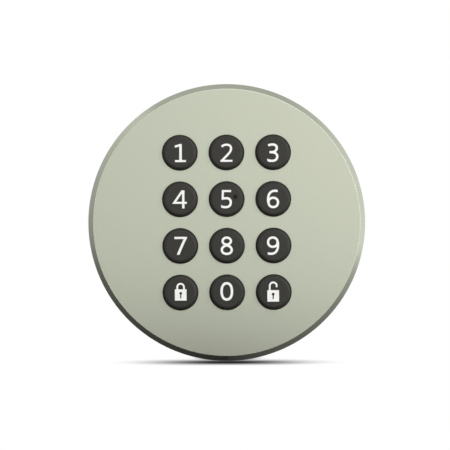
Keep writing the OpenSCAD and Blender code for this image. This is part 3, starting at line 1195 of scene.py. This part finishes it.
@dataclass
class LegendBook:
    """Draws what is printed on each key, in millimetres.

    A digit stands on the line at 0, its strokes are centred on its drawn lines, and its
    shift lays it on the key.
    """

    heavy: float = 0.62
    light: float = 0.56
    height: float = 5.08
    drop: float = -2.68

    def zero(self) -> Legend:
        """Draws the nought."""
        ring = Pen.loop((0, 2.54), (1.45, 2.27), 2.25)
        return Legend((Stroke(ring, 0.70),), shift=(-0.09, -2.22))

    def one(self) -> Legend:
        """Draws the one, with its flag and foot.

        Returns:
            The digit.
        """
        flag = Pen(-1.44, 4.36).curve((-0.9, 4.46), (-0.4, 4.62), (0.1, 4.86))
        return Legend(
            (Stroke(flag, self.heavy, start_cut=90),),
            (block(-0.22, 0, 0.51, self.height), block(-1.42, -0.02, 1.66, self.light + 0.02)),
            shift=(0.10, self.drop + 0.03),
        )

    def two(self) -> Legend:
        """Draws the two.

        Returns:
            The digit.
        """
        bend = Pen(-1.40, 4.26).curve((-1.0, 4.64), (-0.5, 4.8), (0.0, 4.8))
        bend.curve((0.8, 4.8), (1.24, 4.4), (1.24, 3.72))
        bend.curve((1.24, 2.85), (0.58, 2.3), (-1.4, 0.25))
        return Legend(
            (Stroke(bend, self.heavy, start_cut=128, end_cut=180),),
            (block(-1.74, 0, 1.62, self.light),),
            shift=(0.07, self.drop + 0.03),
        )

    def three(self) -> Legend:
        """Draws the three.

        Returns:
            The digit.
        """
        upper = Pen(-1.44, 4.56).curve((-1.05, 4.78), (-0.65, 4.84), (-0.2, 4.84))
        upper.curve((0.54, 4.84), (0.95, 4.44), (0.95, 3.90))
        upper.curve((0.95, 3.32), (0.6, 2.90), (-0.2, 2.70))
        lower = Pen(-1.1, 2.68).line(-0.3, 2.68).curve((0.5, 2.64), (1.06, 2.16), (1.06, 1.48))
        lower.curve((1.06, 0.72), (0.52, 0.26), (-0.4, 0.26))
        lower.curve((-0.9, 0.26), (-1.3, 0.32), (-1.6, 0.46))
        return Legend(
            (Stroke(upper, 0.66, start_cut=110), Stroke(lower, 0.66, end_cut=-70)),
            shift=(0.09, self.drop - 0.01),
        )

    def four(self) -> Legend:
        """Draws the four.

        Returns:
            The digit.
        """
        slope = Pen(0.72, self.height).line(-1.88, 1.32)
        return Legend(
            (Stroke(slope, self.heavy, start_cut=0, end_cut=0),),
            (block(0.52, 0, 1.2, self.height), block(-1.84, 1.30, 1.86, 1.32 + self.light)),
            shift=(0.08, self.drop + 0.11),
        )

    def five(self) -> Legend:
        """Draws the five.

        Returns:
            The digit.
        """
        bowl = Pen(-1.41, 2.60).curve((-1.1, 2.73), (-0.6, 2.78), (-0.05, 2.78))
        bowl.curve((0.68, 2.76), (1.12, 2.32), (1.12, 1.60))
        bowl.curve((1.12, 0.76), (0.6, 0.27), (-0.3, 0.27))
        bowl.curve((-0.8, 0.27), (-1.2, 0.34), (-1.52, 0.48))
        post = Stroke(Pen(-1.05, self.height).line(-1.17, 2.62), 0.60, start_cut=0, end_cut=10)
        return Legend(
            (Stroke(bowl, 0.66, start_cut=93, end_cut=-70), post),
            (block(-1.28, self.height - 0.60, 1.20, self.height),),
            shift=(0.04, self.drop + 0.16),
        )

    def hook(self, turned: bool) -> tuple[Stroke, ...]:
        """Draws the six, or the nine as the six turned round.

        Args:
            turned: Whether it is turned by half a turn.

        Returns:
            The strokes of its bowl and its hook.
        """
        bowl = Pen.loop((0.0, 1.60), (1.33, 1.30), 2.12)
        tip = (1.44, 4.76) if turned else (1.22, 4.80)
        back = Pen(*tip).curve((1.05, 4.82), (0.75, 4.85), (0.45, 4.85))
        back.curve((-0.85, 4.85), (-1.47, 3.8), (-1.45, 2.25))
        back.curve((-1.45, 1.85), (-1.41, 1.65), (-1.33, 1.45))
        if turned:
            for pen in (bowl, back):
                pen.points = [(-x, self.height - y) for x, y in pen.points]
        cut = -90 if turned else 100
        return (Stroke(bowl, 0.65), Stroke(back, 0.65, start_cut=cut))

    def six(self) -> Legend:
        """Draws the six."""
        return Legend(self.hook(False), shift=(-0.03, self.drop + 0.09))

    def seven(self) -> Legend:
        """Draws the seven.

        Returns:
            The digit.
        """
        leg = Pen(1.36, 4.8).curve((0.58, 3.1), (-0.12, 1.6), (-0.74, 0.05))
        return Legend(
            (Stroke(leg, 0.70, start_cut=180, end_cut=180),),
            (block(-1.78, self.height - 0.62, 1.74, self.height),),
            shift=(0.17, self.drop + 0.19),
        )

    def eight(self) -> Legend:
        """Draws the eight.

        Returns:
            The digit.
        """
        sides = []
        for side in (-1, 1):
            pen = Pen(-side * 0.05, 0.27)
            pen.curve((side * 0.8, 0.27), (side * 1.38, 0.68), (side * 1.38, 1.40))
            pen.curve((side * 1.38, 2.02), (side * 0.85, 2.46), (-side * 0.05, 2.70))
            sides.append(Stroke(pen, 0.67))
        return Legend(
            (*sides, Stroke(Pen.loop((0, 3.86), (1.18, 0.97), 1.95), 0.64)),
            shift=(-0.03, self.drop + 0.15),
        )

    def nine(self) -> Legend:
        """Draws the nine."""
        return Legend(self.hook(True), shift=(-0.21, self.drop + 0.16))

    def padlock(self, is_open: bool) -> Legend:
        """Draws a padlock.

        Args:
            is_open: Whether its shackle is up, with one leg free.

        Returns:
            The pictogram.
        """
        half, body_top = 1.64, 0.78
        body_bottom = -2.44 if is_open else -2.38
        reach, spring = (0.97, 1.98) if is_open else (0.94, 1.40)
        left_leg = body_top - 0.1
        right_leg = 1.60 if is_open else left_leg
        middle = 0.02 if is_open else -0.02
        pen = Pen(middle - reach, left_leg)
        for point in arc_points((middle, spring), (reach, reach), 180, 0, 20):
            pen.line(*point)
        pen.line(middle + reach, right_leg)
        eye = arc_points((0.0, -0.36), (0.40, 0.40), 0, 345, 23)
        return Legend(
            (Stroke(pen, 0.50),),
            (block(-half, body_bottom, half, body_top),),
            (eye, block(-0.17, -1.75, 0.17, -0.45)),
            shift=(-0.18, -0.17) if is_open else (0.09, 0.19),
        )

    def lock(self) -> Legend:
        """Draws the closed padlock."""
        return self.padlock(False)

    def unlock(self) -> Legend:
        """Draws the open padlock."""
        return self.padlock(True)

    def page(self, key: KeyName) -> Legend:
        """Gives the legend of one key, which the method of the same name draws."""
        return getattr(self, key.name.lower())()


@dataclass
class Key:
    """One silicone key, with its legend and the web that carries it."""

    name: KeyName
    size: Extent = field(init=False)
    top: float = field(init=False)
    foot: float = field(init=False)
    recess: float = field(init=False)
    edge: float = 0.95 * MM
    lip: float = 0.08 * MM
    fillet: float = 0.2 * MM
    skirt_inset: float = 0.3 * MM
    skirt_height: float = 1.0 * MM
    post: float = 2.3 * MM
    hollow: float = 3.8 * MM
    hollow_height: float = 2.0 * MM
    ink: float = 0.03 * MM
    bite: float = 0.01 * MM
    pip_at: Pair = (2.5 * MM, 0.7 * MM)
    pip_radius: float = 0.60 * MM
    pip_rise: float = 0.40 * MM
    pip_from: float = 15.0
    web: float = 0.35 * MM
    web_radius: float = 5.7 * MM
    steps: int = 96
    edge_steps: int = 10
    pip_steps: int = 32
    web_steps: int = 64
    web_rings: int = 6

    def __post_init__(self) -> None:
        """Reads the key's place, and the height of the tops from a key without a pip."""
        self.size = Extent.of(self.name.node)
        plain = Extent.of(KeyName.ONE.node)
        self.top, self.foot = plain.front, plain.back
        self.recess = Extent.of(self.name.pill).front

    def build(self) -> None:
        """Builds the key, its legend and its web."""
        place_piece(self.plug(), self.name.body, "key_silicone", self.name.node)
        place_piece(self.legend(), self.name.body, "legend_ink")
        self.fold(self.web_cone())

    def plug(self) -> bpy.types.Object:
        """Turns the key itself, hollow underneath round its post.

        Returns:
            The key.
        """
        radius, foot, top, lip = self.size.radius, self.foot, self.top, self.lip
        skirt = radius - self.skirt_inset
        step = foot + self.skirt_height
        roof = foot + self.hollow_height
        profile = softened([
            (0, self.recess, 0),
            (self.post, self.recess, lip),
            (self.post, roof, self.fillet),
            (self.hollow, roof, self.fillet),
            (self.hollow, foot, lip),
            (skirt, foot, lip),
            (skirt, step, lip),
            (radius, step, lip),
            (radius, top, self.edge),
            (0, top, 0),
        ], self.edge_steps)
        sketch = MeshSketch()
        sketch.turned(self.size.centre, profile, self.steps)
        finishes = [KEY_SILICONE]
        # The pip on the middle key takes the darker finish: painted shade, not a colour of its own.
        if self.name is KeyName.FIVE:
            self.add_pip(sketch)
            finishes.append(PIP_PAINTED_SHADE)
        return sketch.finished(f"keycap_{self.name.value}", finishes, sharp=60)

    def add_pip(self, sketch: MeshSketch) -> None:
        """Adds the small raised pip that fingers find the middle key by, in a finish painted darker
        than the key as painted shade for its dome.

        Args:
            sketch: The key's mesh.
        """
        middle = self.top + self.pip_rise - self.pip_radius
        radii = (self.pip_radius, self.pip_radius)
        dome = arc_points((0, middle), radii, self.pip_from, 90, self.edge_steps)
        profile = [(0, dome[0][1]), *dome[:-1], (0, dome[-1][1])]
        centre = self.size.centre[0] + self.pip_at[0], self.size.centre[1] + self.pip_at[1]
        sketch.turned(centre, profile, self.pip_steps, finish_at=lambda r, out: 1)

    def legend(self) -> bpy.types.Object:
        """Prints the key's legend as a thin layer of ink.

        Returns:
            The legend.
        """
        inked, bare = LegendBook().page(self.name).regions()
        sketch = MeshSketch()
        sketch.plate(inked, bare, self.size.centre, self.top - self.bite, self.top + self.ink)
        return sketch.finished(f"legend_{self.name.value}", [LEGEND_INK])

    def web_cone(self) -> bpy.types.Object:
        """Turns the thin cone between the key and the mat.

        Returns:
            The web.
        """
        webs = Extent.of("key_webs")
        skirt = self.size.radius - self.skirt_inset
        low, high, thick = webs.back + self.web, webs.front, self.web
        run = self.web_radius - skirt
        upper, under = [], []
        for step in range(self.web_rings + 1):
            share = step / self.web_rings
            radius, out = skirt + run * share, high + (low - high) * share
            upper.append((min(radius + thick, self.web_radius), out))
            under.append((max(radius - thick * share, skirt), out - thick))
        sketch = MeshSketch()
        profile = [(skirt, high), *upper, *reversed(under)]
        sketch.turned(self.size.centre, profile, self.web_steps, closed=True)
        return sketch.finished(f"web_{self.name.value}", [MAT_SILICONE], sharp=50)

    def fold(self, cone: bpy.types.Object) -> None:
        """Bakes the web's place into its mesh and hides the CAD webs that it stands for.

        Args:
            cone: The web.
        """
        webs = Extent.of("key_webs")
        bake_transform(cone)
        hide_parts("key_webs")
        LOG.info("%s folds between %s and %s", cone.name, UNIT_BODY, self.name.body)


# ---------------------------------------------------------------- inside


@dataclass
class Electronics:
    """The circuit board and what is soldered to it."""

    finishes: dict[str, Finish] = field(default_factory=lambda: {
        "circuit_board": BOARD_MASK,
        "contact_pads": GOLD,
        "radio_module": BOARD_MASK,
        "radio_shield": TIN,
        "microcontroller": CHIP_EPOXY,
        "crystal": TIN,
        "capacitors": CERAMIC,
        "buzzer": CHIP_EPOXY,
    })

    def build(self) -> None:
        """Dresses the board's pieces."""
        for node, finish in self.finishes.items():
            dress(node, finish)


@dataclass
class KeyBed:
    """The silicone mat, the frame over it and the carbon pills under the keys."""

    pill: Finish = CARBON
    frame: Finish = FRAME_PLASTIC
    mat: Finish = MAT_SILICONE

    def build(self) -> None:
        """Dresses the pills, the frame and the mat."""
        for key in KeyName:
            dress(key.pill, self.pill)
        dress("key_frame", self.frame)
        dress("key_mat", self.mat)


@dataclass
class CellSpring:
    """A conical spring that presses on a cell's flat end."""

    cell: str
    wire: float = 0.25 * MM
    base: float = 3.8 * MM
    tip: float = 2.2 * MM
    turns: int = 4
    steps: int = 44
    wire_steps: int = 12

    def build(self) -> bpy.types.Object:
        """Winds the spring between the contact strip and the cell.

        Returns:
            The spring.
        """
        springs, cell = Extent.of("contact_springs"), Extent.of(self.cell)
        below = abs(cell.bottom - springs.bottom) > abs(springs.top - cell.top)
        foot, head = (springs.bottom, cell.bottom) if below else (springs.top, cell.top)
        way = math.copysign(1.0, head - foot)
        span = abs(head - foot) - 2 * self.wire
        out = (cell.back + cell.front) / 2
        path = []
        for k in range(self.turns * self.steps + 1):
            t = k / (self.turns * self.steps)
            x, y = spoke(self.base + (self.tip - self.base) * t, k, self.steps)
            rise = foot + way * (self.wire + span * t * t * (3 - 2 * t))
            path.append(row_point(cell.centre[0] + x, rise, out + y))
        sketch = MeshSketch()
        sketch.rod(path, self.wire, self.wire_steps)
        return sketch.finished(f"spring_{self.cell}", [NICKEL], sharp=50)


@dataclass
class TrayScrew:
    """A pan-head screw with a real thread and a cross recess."""

    side: int
    level: int
    head: float = 1.8 * MM
    head_height: float = 1.3 * MM
    crown: float = 1.3 * MM
    crown_edge: float = 0.45 * MM
    under_edge: float = 0.1 * MM
    shank: float = 0.95 * MM
    pitch: float = 0.45 * MM
    thread: float = 0.2 * MM
    tip_taper: float = 0.25 * MM
    recess: Pair = (0.28 * MM, 1.1 * MM)
    recess_depth: float = 0.75 * MM
    recess_draft: float = 0.72
    steps: int = 36
    edge_steps: int = 6
    pitch_steps: int = 8

    def build(self) -> bpy.types.Object:
        """Builds the screw.

        Returns:
            The screw.
        """
        size = Extent.of("tray_screws")
        centre = self.side * (size.right - self.head), self.level * (size.top - self.head)
        sketch = MeshSketch()
        self.add_head(sketch, centre, size.back)
        self.add_shank(sketch, centre, size.back + self.head_height, size.front)
        where = f"{'left' if self.side < 0 else 'right'}_{'lower' if self.level < 0 else 'upper'}"
        return sketch.finished(f"tray_screw_{where}", [ZINC], sharp=40)

    def add_head(self, sketch: MeshSketch, centre: Pair, top: float) -> None:
        """Adds the head with its cross recess.

        Args:
            sketch: The screw's mesh.
            centre: The screw's axis.
            top: The top of the head, as a distance out.
        """
        under = top + self.head_height
        profile = softened([
            (self.crown, top, 0),
            (self.head, top, self.crown_edge),
            (self.head, under, self.under_edge),
            (0, under, 0),
        ], self.edge_steps)
        rings = sketch.turned(centre, profile, self.steps)
        arm, reach = self.recess
        cross = [
            (x * c - y * s, x * s + y * c)
            for c, s in ((1, 0), (0, 1), (-1, 0), (0, -1))
            for x, y in ((arm, arm), (arm, reach), (-arm, reach))
        ]
        mouth, floor = (
            [sketch.vertex(centre[0] + x * share, centre[1] + y * share, out) for x, y in cross]
            for share, out in ((1.0, top), (self.recess_draft, top + self.recess_depth))
        )
        sketch.sheet(rings[0], [mouth])
        sketch.bridge(mouth, floor)
        sketch.sheet(floor, [])

    def add_shank(self, sketch: MeshSketch, centre: Pair, start: float, end: float) -> None:
        """Adds the threaded shank, as rings whose radius follows the thread.

        Args:
            sketch: The screw's mesh.
            centre: The screw's axis.
            start: Where the shank leaves the head, as a distance out.
            end: The screw's tip.
        """
        count = round((end - start) / self.pitch * self.pitch_steps)
        rings = []
        for k in range(count + 1):
            out = start + (end - start) * k / count
            fade = min(1.0, (out - start) / self.pitch, (end - out) / self.pitch)
            taper = self.tip_taper * (1 - fade) if out > start + self.pitch else 0.0
            ring = []
            for j in range(self.steps):
                phase = ((out - start) / self.pitch - j / self.steps) % 1.0
                crest = 1 - abs(2 * phase - 1)
                radius = self.shank - self.thread * (1 - crest) * fade - taper
                x, y = spoke(radius, j, self.steps)
                ring.append(sketch.vertex(centre[0] + x, centre[1] + y, out))
            rings.append(ring)
        for first, second in zip(rings, rings[1:]):
            sketch.bridge(first, second)
        sketch.bridge([sketch.vertex(*centre, start)], rings[0])
        sketch.bridge(rings[-1], [sketch.vertex(*centre, end)])


@dataclass
class PowerTray:
    """The battery tray with its cells, contacts and screws."""

    cells: tuple[str, ...] = ("battery_1", "battery_2", "battery_3")

    def build(self) -> None:
        """Winds the springs, threads the screws and dresses the rest."""
        dress("battery_tray", TRAY_PLASTIC)
        dress("contact_strips", NICKEL)
        for cell in self.cells:
            dress(cell, CELL)
            place_piece(CellSpring(cell).build(), UNIT_BODY, "spring_steel", "contact_springs")
        for side in (-1, 1):
            for level in (-1, 1):
                place_piece(TrayScrew(side, level).build(), UNIT_BODY, "screw_steel", "tray_screws")


@dataclass
class WallMount:
    """The wall plate and the rubber ring round it."""

    plate: Finish = BLACK_PLASTIC
    seal: Finish = SEAL_RUBBER

    def build(self) -> None:
        """Dresses the plate and the ring."""
        dress("wall_plate", self.plate)
        dress("rim_seal", self.seal)


# ---------------------------------------------------------------- studio


def blank_material(name: str) -> bpy.types.Material:
    """Starts a material without any nodes.

    Args:
        name: The material's name.

    Returns:
        The material.
    """
    made = bpy.data.materials.new(name)
    made.use_nodes = True
    made.node_tree.nodes.clear()
    return made


def stage_panel(
    name: str, corners: Sequence[Vector], paint: bpy.types.Material
) -> bpy.types.Object:
    """Adds a flat four-cornered panel that belongs to the stage.

    Args:
        name: Its name.
        corners: Its corners, in order.
        paint: Its material.

    Returns:
        The panel.
    """
    mesh = bpy.data.meshes.new(name)
    mesh.from_pydata(corners, [], [(0, 1, 2, 3)])
    mesh.materials.append(paint)
    panel = add_object(name, mesh)
    return panel


@dataclass(frozen=True)
class Card:
    """A flat card that only glossy surfaces mirror, graded from one edge to the other."""

    name: str
    start: Pair
    end: Pair
    depth: Pair
    shades: Pair

    def hang(self) -> None:
        """Hangs the card from its start edge to its end edge, over its depth out of the wall."""
        near, far = self.depth
        corners = [
            row_point(*self.start, near), row_point(*self.end, near),
            row_point(*self.end, far), row_point(*self.start, far),
        ]
        card = stage_panel(self.name, corners, self.paint(corners[0], corners[1] - corners[0]))
        card.visible_camera = False
        card.visible_diffuse = False
        card.visible_transmission = False
        card.visible_volume_scatter = False
        card.visible_shadow = False

    def paint(self, origin: Vector, along: Vector) -> bpy.types.Material:
        """Makes the card's graded glow.

        Args:
            origin: A corner on the start edge.
            along: The way from the start edge to the end edge.

        Returns:
            The material.
        """
        paint = blank_material(self.name)
        tree = paint.node_tree
        place = tree.nodes.new("ShaderNodeNewGeometry")
        way = tree.nodes.new("ShaderNodeVectorMath")
        way.operation = "DOT_PRODUCT"
        way.inputs[1].default_value = along / along.length_squared
        tree.links.new(place.outputs["Position"], way.inputs[0])
        start = origin.dot(along) / along.length_squared
        shade = graded(tree, way.outputs["Value"], (start, start + 1), self.shades)
        glow = tree.nodes.new("ShaderNodeEmission")
        tree.links.new(shade, glow.inputs["Strength"])
        out = tree.nodes.new("ShaderNodeOutputMaterial")
        tree.links.new(glow.outputs[0], out.inputs["Surface"])
        return paint


@dataclass(frozen=True)
class Softbox:
    """A soft rectangular lamp that faces the middle of the keypad."""

    name: str
    place: Triple
    size: Pair
    power: float

    def hang(self) -> None:
        """Hangs the lamp."""
        light = bpy.data.lights.new(self.name, "AREA")
        light.shape = "RECTANGLE"
        light.size, light.size_y = self.size
        light.energy = self.power
        lamp = add_object(self.name, light)
        lamp.location = row_point(*self.place)
        lamp.rotation_euler = (-lamp.location).to_track_quat("-Z", "Y").to_euler()


@dataclass(frozen=True)
class PaintedShadowSpot:
    """An oval of painted shadow on the floor, dark in the middle; the floor's painted shadow falls
    only inside it.
    """

    out: float
    size: Pair
    turn: float = 0.0

    def fade(self, tree: Tree) -> Socket:
        """Adds nodes for how light the painted oval leaves the floor.

        Args:
            tree: The floor's nodes.

        Returns:
            The lightness, from 0 in the middle to 1 at the rim and beyond.
        """
        level = Extent.of("front_housing").bottom
        place = tree.nodes.new("ShaderNodeNewGeometry")
        oval = tree.nodes.new("ShaderNodeMapping")
        oval.vector_type = "TEXTURE"
        oval.inputs["Location"].default_value = row_point(0, level, self.out)
        oval.inputs["Rotation"].default_value = (0, 0, math.radians(self.turn))
        oval.inputs["Scale"].default_value = (*self.size, 1)
        length = tree.nodes.new("ShaderNodeVectorMath")
        length.operation = "LENGTH"
        far = tree.nodes.new("ShaderNodeMapRange")
        far.interpolation_type = "SMOOTHERSTEP"
        tree.links.new(place.outputs["Position"], oval.inputs["Vector"])
        tree.links.new(oval.outputs["Vector"], length.inputs[0])
        tree.links.new(length.outputs["Value"], far.inputs["Value"])
        return far.outputs["Result"]


@dataclass
class Studio:
    """The floor, the lamps, the cards, the surroundings and the camera."""

    distance: float = 0.60
    picture_width: float = 126.75 * MM
    aim: Pair = (-0.49 * MM, -0.71 * MM)
    roll: float = 0.3
    clip: Pair = (0.01, 20.0)
    floor_half: float = 2.0
    soft_world: float = 0.90
    floor_bounce: float = 0.10
    # The floor's shadow is painted: ambient occlusion turned into the floor's glow, kept inside the
    # two painted ovals below.
    shadow_reach: float = 21 * MM
    shadow_open: Pair = (0.92, 1.0)
    shadow_dark: float = 0.02
    near_spot: PaintedShadowSpot = PaintedShadowSpot(25.1 * MM, (37.5 * MM, 20 * MM), turn=-4.5)
    far_spot: PaintedShadowSpot = PaintedShadowSpot(10.5 * MM, (14 * MM, 26 * MM))
    flag_lift: float = 0.2 * MM
    flag_depth: Pair = (-0.05, 0.08)
    wall_depth: Pair = (-0.15, 0.35)
    wall_at: Pair = (-0.25, 0.165)
    left_wall_top: float = 0.25
    ceiling_at: float = 0.30
    ceiling_from: float = -0.2

    def build(self) -> None:
        """Sets up everything round the object."""
        self.set_camera()
        self.set_world()
        self.lay_floor()
        for piece in (*self.cards(), *self.lamps()):
            piece.hang()
        bpy.context.scene.view_settings.view_transform = "Standard"

    def cards(self) -> list[Card]:
        """Lists the cards that shape what the metal mirrors.

        Returns:
            Two flags near the floor, the walls beyond them and the ceiling.
        """
        low, high = Extent.of("front_housing").bottom + self.flag_lift, self.ceiling_at
        left, right = self.wall_at
        flag, wall = self.flag_depth, self.wall_depth
        return [
            # The two flags glow dark near the keypad and lighter farther out: painted shade of the
            # floor, seen only in the metal's mirror.
            Card("flag_left", (0, low), (left, low), flag, shades=(0.035, 0.46)),
            Card("flag_right", (0, low), (right, low), flag, shades=(0.05, 1.05)),
            Card("wall_left", (left, low), (left, self.left_wall_top), wall, shades=(0.45, 0.95)),
            Card("wall_right", (right, low), (right, high), wall, shades=(1.22, 0.70)),
            Card("ceiling", (self.ceiling_from, high), (right, high), wall, shades=(0.72, 0.70)),
        ]

    def lamps(self) -> list[Softbox]:
        """Lists the lamps.

        Returns:
            The large one over the right shoulder and the slim one at the right.
        """
        return [
            Softbox("key_softbox", place=(0.28, 0.34, 0.60), size=(0.80, 0.80), power=2.5),
            Softbox("right_strip", place=(0.45, 0.04, 0.35), size=(0.10, 0.36), power=1.9),
        ]

    def set_camera(self) -> None:
        """Places the camera square on to the keypad, at a distance from its widest edge."""
        lens = bpy.data.cameras.new("camera")
        lens.lens = lens.sensor_width * self.distance / self.picture_width
        lens.clip_start, lens.clip_end = self.clip
        camera = add_object("camera", lens)
        widest = Extent.of("front_housing").front - Housing.chamfer
        camera.location = row_point(*self.aim, widest + self.distance)
        camera.rotation_euler = (math.radians(90), math.radians(self.roll), 0)
        bpy.context.scene.camera = camera

    def set_world(self) -> None:
        """Makes plain white surroundings, dimmer as a source of soft light."""
        world = bpy.data.worlds.new("studio")
        bpy.context.scene.world = world
        world.use_nodes = True
        tree = world.node_tree
        tree.nodes.clear()
        glows = []
        for strength in (self.soft_world, 1.0):
            glow = tree.nodes.new("ShaderNodeBackground")
            glow.inputs["Color"].default_value = (1, 1, 1, 1)
            glow.inputs["Strength"].default_value = strength
            glows.append(glow.outputs[0])
        self.split_rays(tree, *glows, "ShaderNodeOutputWorld")

    def lay_floor(self) -> None:
        """Lays a white glowing floor with a painted shadow under the object, from ambient occlusion
        kept inside painted ovals.
        """
        half, level = self.floor_half, Extent.of("front_housing").bottom
        paint = blank_material("floor_paint")
        tree = paint.node_tree
        matt = tree.nodes.new("ShaderNodeBsdfDiffuse")
        matt.inputs["Color"].default_value = (*(self.floor_bounce,) * 3, 1)
        glow = tree.nodes.new("ShaderNodeEmission")
        tree.links.new(self.contact_shade(tree), glow.inputs["Strength"])
        self.split_rays(tree, matt.outputs[0], glow.outputs[0], "ShaderNodeOutputMaterial")
        corners = [Vector((x, y, level)) for x, y in block(-half, -half, half, half)]
        stage_panel("floor", corners, paint)

    def split_rays(self, tree: Tree, soft: Socket, seen: Socket, output: str) -> None:
        """Ends a node tree in one shader for soft light and another for what is seen.

        Args:
            tree: The world's or the floor's nodes.
            soft: The shader for all other light.
            seen: The shader for what shows, straight or in a gloss.
            output: The type of the output node.
        """
        path = tree.nodes.new("ShaderNodeLightPath")
        share = path.outputs["Is Camera Ray"]
        for ray in ("Is Glossy Ray", "Is Transmission Ray"):
            share = combined(tree, "MAXIMUM", share, path.outputs[ray])
        mix = tree.nodes.new("ShaderNodeMixShader")
        for value, socket in zip((share, soft, seen), mix.inputs):
            tree.links.new(value, socket)
        tree.links.new(mix.outputs[0], tree.nodes.new(output).inputs["Surface"])

    def contact_shade(self, tree: Tree) -> Socket:
        """Adds nodes for the painted shadow where the object meets the floor, from ambient
        occlusion kept inside painted ovals.

        Args:
            tree: The floor's nodes.

        Returns:
            The floor's brightness, from the shadow's darkest to 1.
        """
        closed = tree.nodes.new("ShaderNodeAmbientOcclusion")
        closed.inputs["Distance"].default_value = self.shadow_reach
        shade = graded(tree, closed.outputs["AO"], self.shadow_open, (self.shadow_dark, 1.0))
        spots = combined(tree, "MINIMUM", self.near_spot.fade(tree), self.far_spot.fade(tree))
        return combined(tree, "MAXIMUM", spots, shade)


def main() -> None:
    """Builds the keypad from the studio inwards, and reports each piece."""
    logging.basicConfig(level=logging.INFO, format="%(name)s: %(message)s")
    Studio().build()
    place_piece(Housing().build(), UNIT_BODY, "satin_aluminium", "front_housing")
    for key in KeyName:
        Key(key).build()
    Electronics().build()
    KeyBed().build()
    PowerTray().build()
    WallMount().build()


if __name__ == "__main__":
    main()
